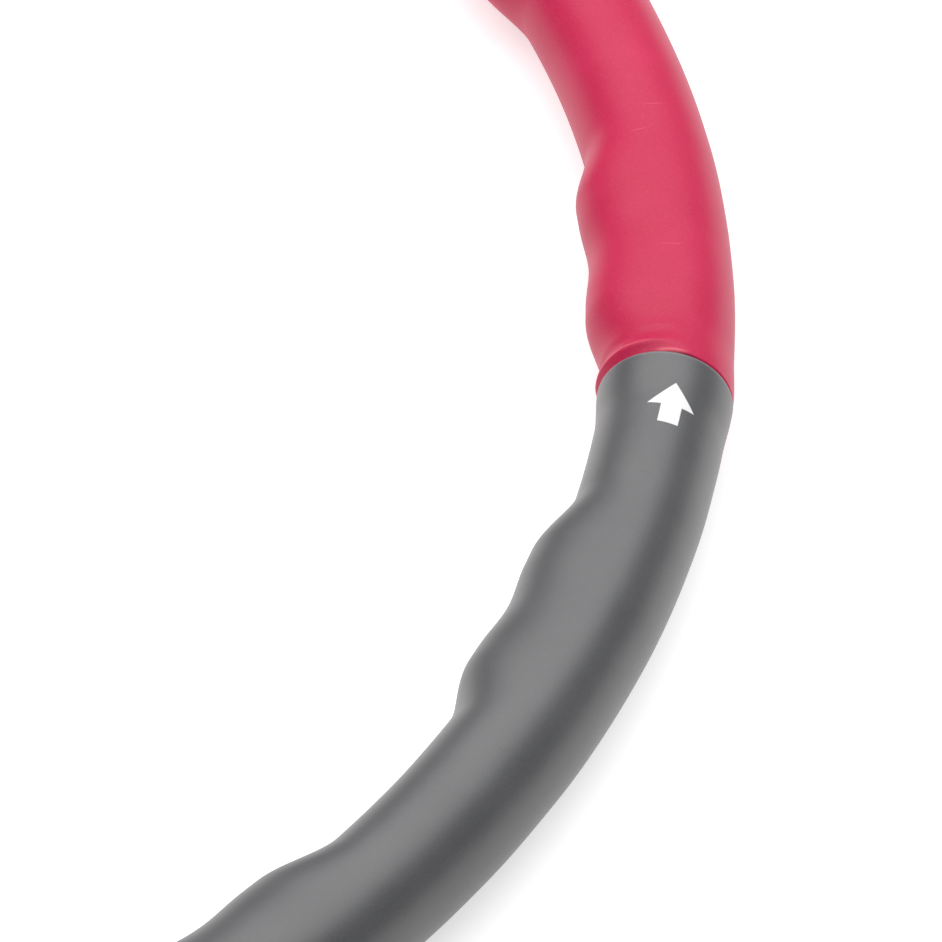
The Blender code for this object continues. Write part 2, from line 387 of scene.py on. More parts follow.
# %% [markdown]
# ## Painted highlights
# A painted highlight makes a sleeve pale where its rounded edges catch the light: on the rim of its
# end, on top of the rim of its start, and on the crest of the lip that rolls over there. Each place is
# a mask that fades with the distance from a line, and the group puts out the strongest of them.

# %% Painted highlights group
# painted highlights: the widths and shares of pale colour on the edges that catch the light
RIM_HIGHLIGHT_WIDTH = 0.0019
END_HIGHLIGHT = 0.55
START_HIGHLIGHT = 0.6
TOP_AROUND = math.radians(86) * FOAM_RADIUS
TOP_HALF_WIDTH = 0.006
LIP_CREST = 0.0047
CREST_HIGHLIGHT = 0.4
CREST_LINE_HALF_WIDTH = 0.0009
LIP_AROUND = math.radians(140) * FOAM_RADIUS
LIP_HALF_WIDTH = 0.016


def near_line(tree, value, line, full, none, share=1.0):
    """A mask that is the share up to one distance from a line, and fades to 0 at another."""
    distance = compute(tree, "ABSOLUTE", compute(tree, "SUBTRACT", value, line))
    return remap(tree, distance, full, none, share, 0.0, smooth=True)


def make_painted_highlights():
    group, start, finish = new_group(
        "painted_highlights", {"In Section": 0.0, "Around": 0.0}, ["Rubbed"]
    )
    in_section, around = start.outputs["In Section"], start.outputs["Around"]
    end_rim = near_line(group, in_section, SECTION_LENGTH, RIM_HIGHLIGHT_WIDTH / 2, RIM_HIGHLIGHT_WIDTH, END_HIGHLIGHT)
    start_rim = near_line(group, in_section, 0.0, RIM_HIGHLIGHT_WIDTH / 2, RIM_HIGHLIGHT_WIDTH, START_HIGHLIGHT)
    on_top = near_line(group, around, TOP_AROUND, TOP_HALF_WIDTH / 3, TOP_HALF_WIDTH)
    crest = near_line(group, in_section, LIP_CREST, 0.0, CREST_LINE_HALF_WIDTH, CREST_HIGHLIGHT)
    on_lip = near_line(group, around, LIP_AROUND, LIP_HALF_WIDTH * 3 / 8, LIP_HALF_WIDTH)
    start_rim = compute(group, "MULTIPLY", start_rim, on_top)
    crest = compute(group, "MULTIPLY", crest, on_lip)
    # the strongest painted highlight of the three places
    lightened = compute(group, "MAXIMUM", end_rim, compute(group, "MAXIMUM", start_rim, crest))
    group.links.new(lightened, finish.inputs["Rubbed"])
    return group


painted_highlights = make_painted_highlights()
print("rubbed places group:", len(painted_highlights.nodes), "nodes")

# %% [markdown]
# ## Foam material
# Moulded foam is satin: light spreads wide over it, and its edge brightens where it is seen edge on.
# The UV map named "sleeve" holds metres along the hoop and around the sleeve, so that creases and the
# arrow keep their true size, and no two sections carry the same creases. The arrow and the painted
# highlights are on every section, so their distance along is taken within one section.

# %% Foam material
ARROW_FROM_END = 0.0136
WHITE_INK = (0.8, 0.8, 0.81, 1)
FLECK_SHARE = 0.2
CREASE_TINT = 0.45
CREASE_DEPTH = 0.5  # beside 1 for the skin's dents
SMOOTHER = 0.04  # how far the grain lowers the roughness
ROUGHER = 0.06  # and raises it
# (distance along the hoop, angle around the sleeve, half length)
CREASES = (
    (0.124, math.radians(83), 0.0052),
    (0.112, math.radians(103), 0.0040),
    (0.0535, math.radians(90), 0.0050),
    (-0.057, math.radians(83), 0.0030),
    (-0.190, math.radians(70), 0.0025),
)


def make_foam(name, colour, clouded, fleck_and_highlight, crease_scuff_and_shade, roughness, gloss, fuzz):
    material, tree, shader, place = new_material(name)
    sleeve_map = tree.nodes.new("ShaderNodeUVMap")
    sleeve_map.uv_map = "sleeve"
    split = tree.nodes.new("ShaderNodeSeparateXYZ")
    tree.links.new(sleeve_map.outputs["UV"], split.inputs["Vector"])
    along, around = split.outputs["X"], split.outputs["Y"]
    in_section = compute(tree, "MODULO", along, SECTION_LENGTH)

    skin = place_group(tree, foam_skin, Coordinates=place)
    creased = 0.0
    for crease_along, crease_angle, half_length in CREASES:
        crease = place_group(
            tree,
            skin_crease,
            Along=along,
            Around=around,
            Place_Along=crease_along % (SECTIONS * SECTION_LENGTH),
            Place_Around=crease_angle * FOAM_RADIUS,
            Half_Length=half_length,
        )
        creased = compute(tree, "MAXIMUM", crease.outputs["Crease"], creased)
    arrow = place_group(
        tree,
        printed_arrow,
        Along=in_section,
        Around=compute(tree, "SUBTRACT", around, BUTTON_ANGLE * FOAM_RADIUS),
        Tip=SECTION_LENGTH - ARROW_FROM_END,
    )
    # painted highlights on the rims and the lip's crest, where they catch the light
    lightened = place_group(tree, painted_highlights, In_Section=in_section, Around=around)

    base = mix_colours(tree, remap(tree, skin.outputs["Cloud"], NOISE_LOW, NOISE_HIGH), colour, clouded)
    flecks = remap(tree, skin.outputs["Grain"], 0.5, 0.8, 0.0, FLECK_SHARE)
    base = mix_colours(tree, flecks, base, fleck_and_highlight)
    # crease colour: pale scuffs on the red, painted shade in the grey's creases
    base = mix_colours(tree, compute(tree, "MULTIPLY", creased, CREASE_TINT), base, crease_scuff_and_shade)
    # painted highlight: the pale colour laid where the edges catch the light
    base = mix_colours(tree, lightened.outputs["Rubbed"], base, fleck_and_highlight)
    base = mix_colours(tree, arrow.outputs["Mask"], base, WHITE_INK)
    tree.links.new(base, shader.inputs["Base Color"])

    rough = remap(tree, skin.outputs["Grain"], 0.3, 0.7, roughness - SMOOTHER, roughness + ROUGHER)
    tree.links.new(rough, shader.inputs["Roughness"])
    height = compute(tree, "MULTIPLY_ADD", creased, -CREASE_DEPTH, skin.outputs["Height"])
    add_bump(tree, shader, height, strength=0.25, distance=0.0004)
    shader.inputs["Specular IOR Level"].default_value = gloss
    shader.inputs["Sheen Weight"].default_value = fuzz
    shader.inputs["Sheen Roughness"].default_value = 0.4
    return material


red_foam = make_foam(
    "red_foam",
    colour=(0.51, 0.01, 0.066, 1),
    clouded=(0.56, 0.016, 0.082, 1),
    # pale cells, and the painted highlight on the lit edges
    fleck_and_highlight=(0.85, 0.17, 0.22, 1),
    crease_scuff_and_shade=(0.8, 0.15, 0.22, 1),
    roughness=0.42,
    gloss=0.28,
    fuzz=0.0,
)
grey_foam = make_foam(
    "grey_foam",
    colour=(0.062, 0.063, 0.067, 1),
    clouded=(0.075, 0.076, 0.08, 1),
    # pale cells, and the painted highlight on the lit edges
    fleck_and_highlight=(0.2, 0.2, 0.21, 1),
    # darker in the creases: painted shade
    crease_scuff_and_shade=(0.03, 0.031, 0.033, 1),
    roughness=0.4,
    gloss=0.82,
    fuzz=0.1,
)
print("foams:", red_foam.name, grey_foam.name, "with", len(CREASES), "creases")

# %% [markdown]
# ## The foam sleeve
# The sleeve starts as two circles, the outer skin and the bore for the tube. Spin sweeps both round the
# hoop's centre. Bridging then lays a flat ring across each end, whose outer edge bevel rounds. The
# massage humps, the rolled lip at one end and the slight flare at the other are formed by moving the
# skin's points by formula, because a swelling that fades out around the sleeve is easier to describe
# than to pull by hand. The grey sleeves come from a mould of their own, whose humps stand a few
# millimetres away from the red one's, so the swept sleeve is copied before it is shaped.

# %% Helpers for editing


def deselect_everything():
    if bpy.context.mode != "OBJECT":
        bpy.ops.object.mode_set(mode="OBJECT")
    bpy.ops.object.select_all(action="DESELECT")


def pick(piece):
    """Makes one piece the only selected one, and the active one."""
    deselect_everything()
    piece.select_set(True)
    bpy.context.view_layer.objects.active = piece


def edit(piece):
    """Edit mode on one piece, with nothing selected in it."""
    pick(piece)
    bpy.ops.object.mode_set(mode="EDIT")
    bpy.ops.mesh.select_mode(type="EDGE")
    bpy.ops.mesh.select_all(action="DESELECT")


def stop_editing():
    bpy.ops.object.mode_set(mode="OBJECT")


def select_edges(piece, test):
    """Selects the edges whose two ends pass a test together."""
    bpy.ops.mesh.select_mode(type="EDGE")
    bpy.ops.mesh.select_all(action="DESELECT")
    bpy.ops.object.mode_set(mode="OBJECT")
    points = piece.data.vertices
    for edge in piece.data.edges:
        edge.select = bool(test(*(points[index].co for index in edge.vertices)))
    bpy.ops.object.mode_set(mode="EDIT")


def select_faces(piece, test):
    """Selects the faces whose middle passes a test."""
    bpy.ops.mesh.select_mode(type="FACE")
    bpy.ops.mesh.select_all(action="DESELECT")
    bpy.ops.object.mode_set(mode="OBJECT")
    for face in piece.data.polygons:
        face.select = bool(test(face.center))
    bpy.ops.object.mode_set(mode="EDIT")


def add_circle(name, radius, sides, along=0.0):
    """A circle of edges across the tube, at a distance along from the joint's centre."""
    deselect_everything()
    bpy.ops.mesh.primitive_circle_add(
        vertices=sides,
        radius=radius,
        fill_type="NOTHING",
        location=JOINT_CENTRE + Vector((0, along, 0)),
        rotation=(math.pi / 2, 0, 0),
    )
    circle = bpy.context.object
    circle.name = name
    bpy.ops.object.transform_apply(location=True, rotation=True, scale=True)
    return circle


def join(pieces, name):
    """Joins the pieces into the first of them."""
    deselect_everything()
    for piece in pieces:
        piece.select_set(True)
    bpy.context.view_layer.objects.active = pieces[0]
    bpy.ops.object.join()
    pieces[0].name = name
    pieces[0].data.name = name
    return pieces[0]


def spin_on(angle, steps):
    """Sweeps the selected edges round the hoop's centre, from one joint towards the next."""
    # spin turns clockwise by a positive angle, and the sections follow each other the other way
    bpy.ops.mesh.spin(steps=steps, angle=-angle, center=(0, 0, 0), axis=(0, 0, 1))


def from_core(point):
    """(turn round the hoop, reach from the tube's centreline, angle around it) of a point."""
    outwards = math.hypot(point.x, point.y) - HOOP_RADIUS
    up = point.z - FOAM_RADIUS
    return math.atan2(point.y, point.x), math.hypot(outwards, up), math.atan2(up, outwards)


def at_core(turn, outwards, up):
    """The point at a turn round the hoop, outwards from and above the tube's centreline."""
    reach = HOOP_RADIUS + outwards
    return Vector((reach * math.cos(turn), reach * math.sin(turn), up + FOAM_RADIUS))


def smooth_step(value):
    share = min(max(value, 0), 1)
    return share * share * (3 - 2 * share)


# %% Sweep a tube
END_GAP = CLEARANCE / 2 / HOOP_RADIUS
SMALL_TURN = END_GAP / 2


def select_end(piece, turn, test=None):
    """Selects the edges at one end of a section, or those of them that pass a test."""
    select_edges(
        piece,
        lambda a, b: all(abs(from_core(point)[0] - turn) < SMALL_TURN for point in (a, b))
        and (test is None or test(a, b)),
    )


def sweep_tube(name, radius, bore_radius, sides, steps, end_turn):
    """A bent tube for the first section, with a ring across each end. It is left in edit mode."""
    circles = [add_circle("skin", radius, sides), add_circle("bore", bore_radius, sides)]
    piece = join(circles, name)
    piece.data.transform(Matrix.Rotation(end_turn, 4, "Z"))
    edit(piece)
    bpy.ops.mesh.select_all(action="SELECT")
    spin_on(SECTION_ANGLE - 2 * end_turn, steps)
    # the bore must face its axis before the ends are bridged, or the bridge is laid crosswise
    select_faces(piece, lambda middle: from_core(middle)[1] < (radius + bore_radius) / 2)
    bpy.ops.mesh.flip_normals()
    for turn in (end_turn, SECTION_ANGLE - end_turn):
        select_end(piece, turn)
        bpy.ops.mesh.bridge_edge_loops()
    return piece


# %% Sweep the sleeve
FOAM_SIDES = 96
FOAM_STEPS = 168
BORE_RADIUS = TUBE_RADIUS + CLEARANCE

sleeve = sweep_tube("sleeve_1", FOAM_RADIUS, BORE_RADIUS, FOAM_SIDES, FOAM_STEPS, END_GAP)
print("sleeve swept in", FOAM_STEPS, "steps of", FOAM_SIDES, "sides")

# %% Round the sleeve's rims
RIM_RADIUS = 0.0008
RIM_EDGE = 0.8 * RIM_RADIUS  # longer than any edge that runs over the rounding
skin_reach = FOAM_RADIUS - CLEARANCE

for turn in (END_GAP, SECTION_ANGLE - END_GAP):
    select_end(sleeve, turn, lambda a, b: min(from_core(a)[1], from_core(b)[1]) > skin_reach)
    bpy.ops.mesh.bevel(offset=RIM_RADIUS, segments=6, profile=0.5, affect="EDGES")
stop_editing()
print("sleeve with rounded rims:", len(sleeve.data.polygons), "faces")

# %% Divide the sleeve finely near its ends
FINE_LENGTH = 0.018
fine_turn = FINE_LENGTH / HOOP_RADIUS


def runs_along_near_end(a, b):
    """True for an edge that runs along the hoop close to a joint, and isn't a rim's."""
    turn_a, turn_b = from_core(a)[0], from_core(b)[0]
    near = max(turn_a, turn_b) < fine_turn or min(turn_a, turn_b) > SECTION_ANGLE - fine_turn
    return near and abs(turn_a - turn_b) * HOOP_RADIUS > RIM_EDGE


edit(sleeve)
select_edges(sleeve, runs_along_near_end)
bpy.ops.mesh.subdivide(number_cuts=3)
bpy.ops.mesh.select_all(action="SELECT")
bpy.ops.mesh.normals_make_consistent(inside=False)
stop_editing()
print("sleeve divided near its ends:", len(sleeve.data.polygons), "faces")

# %% [markdown]
# The tube is straight for its last 32 mm, so that the straight spigot fits, and the sleeve's bore
# follows it. A straight end is a chord of the hoop's circle. At a turn from the chord's middle, its
# distance from the hoop's centre is the middle's distance divided by the cosine of that turn.

# %% Formulas for the shape
HUMP_HEIGHT = 0.0067
HUMP_SPACING = 0.046
HUMP_VALLEY = 0.0014
HUMP_GROUP_LENGTH = 0.118
HUMP_FLANK = 0.030
HUMP_TILT = math.radians(9)
RED_HUMPS = (0.066, 0.260)
GREY_HUMPS = (0.055, 0.2405)


def hump(along, group_middles):
    """How far the foam swells inwards, at a distance along the section."""
    height = 0
    for middle in group_middles:
        away = abs(along - middle)
        dip = 0
        if away < HUMP_SPACING / 2:
            dip = HUMP_VALLEY * (1 + math.cos(math.tau * away / HUMP_SPACING)) / 2
        height += smooth_step((HUMP_GROUP_LENGTH / 2 - away) / HUMP_FLANK) * (HUMP_HEIGHT - dip)
    return height


def straightened(turn):
    """How far outwards the tube's straight end shifts, at a turn: a negative distance, or 0."""
    from_end = min(turn, SECTION_ANGLE - turn)
    if from_end > END_ANGLE:
        return 0
    return HOOP_RADIUS * (math.cos(END_ANGLE / 2) / math.cos(from_end - END_ANGLE / 2) - 1)


print("the straight end lies", -straightened(END_ANGLE / 2), "inside the circle at its middle")

# %% Formulas for the two ends
START_FLARE = 0.0011
START_FLARE_LENGTH = 0.022
END_FLARE = 0.0012
END_FLARE_LENGTH = 0.020
UNDERSIDE_SINE = 0.9  # nothing stands out below this, where the sleeve rests on the floor
PROUD_TOP = 0.0004
PROUD_ANGLE = math.radians(86)
PROUD_HALF_ANGLE = math.radians(28)
LIP_ANGLE = math.radians(150)  # the lip rolls most on the inner side, a little above level
LIP_FADE = 1.3
LIP_FADE_START = 0.15
LIP_SWELL = 0.0005
LIP_ROLL = 0.0019
LIP_ROLL_LENGTH = 0.0040
CREST_HEIGHT = 0.0007
CREST_HALF_WIDTH = 0.0022
NECK_FROM_JOINT = 0.0100
NECK_DEPTH = 0.0005
NECK_HALF_WIDTH = 0.0045


def bump_at(place, middle, half_width):
    """A smooth bump of height 1."""
    return smooth_step(1 - abs(place - middle) / half_width)


def end_growth(along, around):
    """How far the skin stands out near the section's two ends."""
    above_floor = smooth_step(math.sin(around) + UNDERSIDE_SINE)
    inner = smooth_step(math.cos(around - LIP_ANGLE) * LIP_FADE - LIP_FADE_START)
    proud = PROUD_TOP * bump_at(around, PROUD_ANGLE, PROUD_HALF_ANGLE)
    start = START_FLARE + proud + LIP_SWELL * inner
    start *= 1 - smooth_step(along / START_FLARE_LENGTH)
    roll = LIP_ROLL * (1 - smooth_step(along / LIP_ROLL_LENGTH))
    crest = CREST_HEIGHT * bump_at(along, LIP_CREST, CREST_HALF_WIDTH)
    neck = NECK_DEPTH * bump_at(along, NECK_FROM_JOINT, NECK_HALF_WIDTH)
    end = END_FLARE * (1 - smooth_step((SECTION_LENGTH - along) / END_FLARE_LENGTH))
    return above_floor * (start + end + inner * (crest - roll - neck))


# %% Shape the sleeve
FLOOR_GAP = 0.0002


def shape_sleeve(point, group_middles):
    """Where a point of the swept sleeve lies on the moulded one."""
    turn, reach, around = from_core(point)
    share = (reach - BORE_RADIUS) / (FOAM_RADIUS - BORE_RADIUS)
    along = turn * HOOP_RADIUS
    grown = reach + share * end_growth(along, around)
    outwards, up = grown * math.cos(around), grown * math.sin(around)
    inwards = up * math.sin(HUMP_TILT) - outwards * math.cos(HUMP_TILT)
    if inwards > 0:
        swelling = share * inwards * hump(along, group_middles) / FOAM_RADIUS
        outwards -= swelling * math.cos(HUMP_TILT)
        up += swelling * math.sin(HUMP_TILT)
    outwards += (1 - share) * straightened(turn)
    return at_core(turn, outwards, max(up, FLOOR_GAP - FOAM_RADIUS))


grey_sleeve = sleeve.copy()
grey_sleeve.data = sleeve.data.copy()
bpy.context.scene.collection.objects.link(grey_sleeve)
for piece, group_middles in ((sleeve, RED_HUMPS), (grey_sleeve, GREY_HUMPS)):
    for vertex in piece.data.vertices:
        vertex.co = shape_sleeve(vertex.co, group_middles)
print("hump height", hump(RED_HUMPS[0], RED_HUMPS), "end growth", end_growth(0, math.pi / 2))

# %% [markdown]
# The pocket over the latch's button is cut into the bore with a Boolean modifier. The cutter is a
# cylinder that stands on the joint, leaned to the button's direction and turned to the far end.

# %% Cutters


def add_upright_cylinder(name, radius, low, high, from_joint, sides=48):
    """A cylinder on the button's line, between two heights above the spigot's centreline."""
    deselect_everything()
    bpy.ops.mesh.primitive_cylinder_add(
        vertices=sides,
        radius=radius,
        depth=high - low,
        location=JOINT_CENTRE + Vector((0, -from_joint, 0)) + BUTTON_WAY * (low + high) / 2,
        rotation=(0, math.pi / 2 - BUTTON_ANGLE, 0),
    )
    cylinder = bpy.context.object
    cylinder.name = name
    bpy.ops.object.transform_apply(location=True, rotation=True, scale=True)
    return cylinder


def add_modifier(piece, kind, **settings):
    """Adds a modifier with its settings and applies it."""
    pick(piece)
    modifier = piece.modifiers.new(kind.lower(), kind)
    for setting, value in settings.items():
        setattr(modifier, setting, value)
    bpy.ops.object.modifier_apply(modifier=modifier.name)


def cut(piece, *cutters):
    """Cuts the cutters from the piece and removes them."""
    for cutter in cutters:
        add_modifier(piece, "BOOLEAN", object=cutter, operation="DIFFERENCE", solver="EXACT")
        bpy.data.objects.remove(cutter)


def turn_piece(piece, turn):
    """Turns a piece about the hoop's centre, its origin staying there."""
    piece.data.transform(Matrix.Rotation(turn, 4, "Z"))
    return piece


# %% Pocket over the button
BUTTON_TOP = TUBE_RADIUS + BUTTON_PROUD
HOLE_RADIUS = BUTTON_RADIUS + CLEARANCE

for piece in (sleeve, grey_sleeve):
    pocket = add_upright_cylinder("pocket", HOLE_RADIUS, 0, BUTTON_TOP + CLEARANCE, BUTTON_FROM_JOINT)
    turn_piece(pocket, SECTION_ANGLE)
    cut(piece, pocket)
print("sleeve with its pocket:", len(sleeve.data.polygons), "faces")

# %% [markdown]
# The UV map is laid in code from each point's place: metres along the hoop, and metres around the
# sleeve from straight outwards. A face that crosses the underside keeps its corners together, so the
# map's seam is a clean line where the foam rests on the floor.

# %% Lay the map
SKIN_SHARP_ANGLE = math.radians(40)


def lay_map(piece):
    """Lays the UV map of metres along the hoop and around the sleeve."""
    layer = piece.data.uv_layers.new(name="sleeve")
    places = [from_core(vertex.co) for vertex in piece.data.vertices]
    for face in piece.data.polygons:
        middle = from_core(face.center)[2]
        low = middle + math.tau if middle < -math.pi / 2 else middle
        for corner in face.loop_indices:
            turn, _, around = places[piece.data.loops[corner].vertex_index]
            around += math.tau * round((low - around) / math.tau)
            layer.data[corner].uv = (turn * HOOP_RADIUS, around * FOAM_RADIUS)


for piece in (sleeve, grey_sleeve):
    lay_map(piece)
    pick(piece)
    bpy.ops.object.shade_smooth_by_angle(angle=SKIN_SHARP_ANGLE)
print("map laid on", len(sleeve.data.loops), "corners")

# %% [markdown]
# ## Copies round the hoop
# Every piece is modelled once, for the first section or the first joint, and the other sections get
# copies with meshes of their own. Real foam never has two sleeves quite alike, so each copy's skin is
# moved in and out by a slow noise of a fraction of a millimetre, read at the copy's own place.

# %% Copy the sleeves
UNEVENNESS = 0.00016
UNEVEN_SCALE = 38


def turned_copy(piece, name, turn):
    """A copy with its own mesh, turned about the hoop's centre."""
    copy = piece.copy()
    copy.data = piece.data.copy()
    copy.name = name
    copy.data.name = name
    bpy.context.scene.collection.objects.link(copy)
    return turn_piece(copy, turn)


def make_uneven(piece):
    """Moves the skin in and out by a slow noise, but not where it rests on the floor."""
    for vertex in piece.data.vertices:
        turn, reach, around = from_core(vertex.co)
        if reach > (BORE_RADIUS + FOAM_RADIUS) / 2 and vertex.co.z > 2 * FLOOR_GAP:
            shift = noise.noise(vertex.co * UNEVEN_SCALE) * UNEVENNESS
            way = at_core(turn, math.cos(around), math.sin(around)) - at_core(turn, 0, 0)
            vertex.co += way * shift


def shift_map(piece, distance):
    """Moves the piece's UV map along, so that no two sections share one."""
    layer = piece.data.uv_layers["sleeve"]
    places = np.empty(len(layer.data) * 2, np.float32)
    layer.data.foreach_get("uv", places)
    places[::2] += distance
    layer.data.foreach_set("uv", places)


sleeves = [sleeve]
for number in range(2, SECTIONS + 1):
    master = sleeve if number % 2 else grey_sleeve
    copy = turned_copy(master, f"sleeve_{number}", (number - 1) * SECTION_ANGLE)
    shift_map(copy, (number - 1) * SECTION_LENGTH)
    sleeves.append(copy)
bpy.data.objects.remove(grey_sleeve)
for number, piece in enumerate(sleeves, start=1):
    make_uneven(piece)
    odd = number % 2
    piece.data.materials.append(red_foam if odd else grey_foam)
    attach(piece, f"section_{number}")
    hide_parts(f"foam_sleeve_{number}")
print("sleeves:", len(sleeves))

# %% [markdown]
# ## Finishes of the core
# The pieces inside the foam show only where two sections are pulled apart, but each has its own finish:
# zinc-plated tube, glass-filled black plastic, natural plastic and spring steel. All of them have fine
# marks that run along them, from drawing the metal or from plugging the joint together many times, so
# those marks are a shared group. It stretches a noise along the piece, and sharpens it to thin lines.

# %% Rub marks group
MARK_LENGTH = 0.012
MARK_WIDTH = 0.00035


def make_rub_marks():
    group, start, finish = new_group(
        "rub_marks", {"Along": 0.0, "Around": 0.0, "Sharpness": 0.5}, ["Marks", "Blotches"]
    )
    place = group.nodes.new("ShaderNodeCombineXYZ")
    feed(group, place, "X", compute(group, "DIVIDE", start.outputs["Along"], MARK_LENGTH))
    feed(group, place, "Y", compute(group, "DIVIDE", start.outputs["Around"], MARK_WIDTH))
    lines = noise_of(group, place.outputs["Vector"], 1.0, detail=3.0, roughness=0.6)
    low = compute(group, "MULTIPLY_ADD", start.outputs["Sharpness"], 0.3, 0.35)
    marks = remap(group, lines, low, 0.75, smooth=True)
    wide = group.nodes.new("ShaderNodeCombineXYZ")
    feed(group, wide, "X", compute(group, "DIVIDE", start.outputs["Along"], MARK_LENGTH))
    feed(group, wide, "Y", compute(group, "DIVIDE", start.outputs["Around"], MARK_LENGTH / 2))
    blotches = noise_of(group, wide.outputs["Vector"], 1.0, detail=3.0)
    group.links.new(marks, finish.inputs["Marks"])
    group.links.new(blotches, finish.inputs["Blotches"])
    return group


rub_marks = make_rub_marks()
print("rub marks group:", len(rub_marks.nodes), "nodes")

# %% Core materials
BLOTCH_SHARE = 0.35
MARK_SHARE = 0.6
MARKED_ROUGHER = 0.12
BLOTCHED_ROUGHER = 0.08
MARK_DEPTH = 0.6
FINE_GRAINS_PER_METRE = 2200.0


def make_core_finish(name, colour, marked, metallic, roughness, sharpness):
    material, tree, shader, place = new_material(name)
    piece_map = tree.nodes.new("ShaderNodeUVMap")
    piece_map.uv_map = "sleeve"
    split = tree.nodes.new("ShaderNodeSeparateXYZ")
    tree.links.new(piece_map.outputs["UV"], split.inputs["Vector"])
    lightened = place_group(
        tree, rub_marks, Along=split.outputs["X"], Around=split.outputs["Y"], Sharpness=sharpness
    )
    marks, blotches = lightened.outputs["Marks"], lightened.outputs["Blotches"]
    share = remap(tree, blotches, NOISE_LOW, NOISE_HIGH, 0.0, BLOTCH_SHARE)
    base = mix_colours(tree, share, colour, marked)
    base = mix_colours(tree, compute(tree, "MULTIPLY", marks, MARK_SHARE), base, marked)
    tree.links.new(base, shader.inputs["Base Color"])
    rough = compute(tree, "MULTIPLY_ADD", marks, MARKED_ROUGHER, roughness)
    rough = compute(tree, "MULTIPLY_ADD", blotches, BLOTCHED_ROUGHER, rough)
    tree.links.new(rough, shader.inputs["Roughness"])
    shader.inputs["Metallic"].default_value = metallic
    fine = noise_of(tree, place, FINE_GRAINS_PER_METRE, detail=2.0)
    height = compute(tree, "MULTIPLY_ADD", marks, -MARK_DEPTH, fine)
    add_bump(tree, shader, height, strength=0.12, distance=0.0001)
    return material


zinc_plate = make_core_finish(
    "zinc_plate",
    colour=(0.62, 0.63, 0.65, 1),
    marked=(0.74, 0.74, 0.73, 1),
    metallic=1,
    roughness=0.3,
    sharpness=0.3,
)
spring_steel = make_core_finish(
    "spring_steel",
    colour=(0.4, 0.41, 0.44, 1),
    marked=(0.62, 0.61, 0.59, 1),
    metallic=1,
    roughness=0.24,
    sharpness=0.5,
)
black_plastic = make_core_finish(
    "black_plastic",
    colour=(0.018, 0.018, 0.02, 1),
    marked=(0.07, 0.07, 0.072, 1),
    metallic=0,
    roughness=0.42,
    sharpness=0.8,
)
natural_plastic = make_core_finish(
    "natural_plastic",
    colour=(0.72, 0.71, 0.66, 1),
    marked=(0.82, 0.81, 0.78, 1),
    metallic=0,
    roughness=0.38,
    sharpness=0.7,
)
print("materials so far:", len(bpy.data.materials))

# %% [markdown]
# ## The steel tube
# The tube is swept like the sleeve, from two circles a wall apart. Its ends stop short of the joint by
# half of the plug's collar, and are bevelled as a sawn and deburred end is. Then it gets its straight
# ends by formula, and a hole near each end: one for the pin of its own plug, one for the button.

# %% Sweep the tube
TUBE_SIDES = 64
TUBE_STEPS = 90
TUBE_GAP = COLLAR_THICKNESS / 2 + CLEARANCE
tube_turn = TUBE_GAP / HOOP_RADIUS

tube = sweep_tube(
    "tube_1", TUBE_RADIUS, TUBE_RADIUS - TUBE_WALL, TUBE_SIDES, TUBE_STEPS, tube_turn
)
for turn in (tube_turn, SECTION_ANGLE - tube_turn):
    select_end(tube, turn, lambda a, b: abs(from_core(a)[1] - from_core(b)[1]) < TUBE_WALL / 2)
    bpy.ops.mesh.bevel(offset=TUBE_WALL / 5, segments=2, affect="EDGES")
bpy.ops.mesh.select_all(action="SELECT")
bpy.ops.mesh.normals_make_consistent(inside=False)
stop_editing()
print("tube:", len(tube.data.polygons), "faces")

# %% Straighten its ends and cut its holes
PIN_RADIUS = 0.0015
PIN_FROM_JOINT = 0.016
PAST_TUBE = TUBE_RADIUS + 0.002
LEAN = math.tan(END_ANGLE / 2)  # of the straight ends, away from the spigot's line
PIN_SHIFT = Vector((-PIN_FROM_JOINT * LEAN, 0, 0))

for vertex in tube.data.vertices:
    turn, reach, around = from_core(vertex.co)
    outwards = reach * math.cos(around) + straightened(turn)
    vertex.co = at_core(turn, outwards, reach * math.sin(around))


def add_pin_cylinder(name, radius, low, high):
    """A cylinder where the pin stands in the leaning root of the plug."""
    cylinder = add_upright_cylinder(name, radius, low, high, -PIN_FROM_JOINT)
    cylinder.data.transform(Matrix.Translation(PIN_SHIFT))
    return cylinder


pin_hole = add_pin_cylinder("pin_hole", PIN_RADIUS + CLEARANCE, 0, PAST_TUBE)
button_hole = add_upright_cylinder("button_hole", HOLE_RADIUS, 0, PAST_TUBE, BUTTON_FROM_JOINT)
turn_piece(button_hole, SECTION_ANGLE)
cut(tube, pin_hole, button_hole)
print("tube with its holes:", len(tube.data.polygons), "faces")

# %% [markdown]
# ## The plug
# The plug is a turned shape: a root that fills the tube's end, a collar as wide as the tube, and the
# spigot that enters the next section. A circle is extruded from ring to ring along the tube and scaled
# at each step, and the last ring closes on the first through the bore. The spigot then gets three long
# shallow pockets between ribs, which is how a thick moulded plug is kept from sinking as it cools.

# %% Turned pieces


def add_turned(name, rings, sides=64):
    """A closed turned shape through rings of (distance along from the joint, radius)."""
    piece = add_circle(name, rings[0][1], sides, rings[0][0])
    edit(piece)
    bpy.ops.mesh.select_all(action="SELECT")
    for (here, radius), (there, next_radius) in zip(rings, rings[1:] + rings[:1]):
        scale = next_radius / radius
        bpy.ops.mesh.extrude_region_move(TRANSFORM_OT_translate={"value": (0, there - here, 0)})
        bpy.ops.transform.resize(
            value=(scale, 1, scale), center_override=JOINT_CENTRE + Vector((0, there, 0))
        )
    bpy.ops.mesh.select_all(action="SELECT")
    bpy.ops.mesh.remove_doubles(threshold=1e-6)
    bpy.ops.mesh.normals_make_consistent(inside=False)
    stop_editing()
    return piece


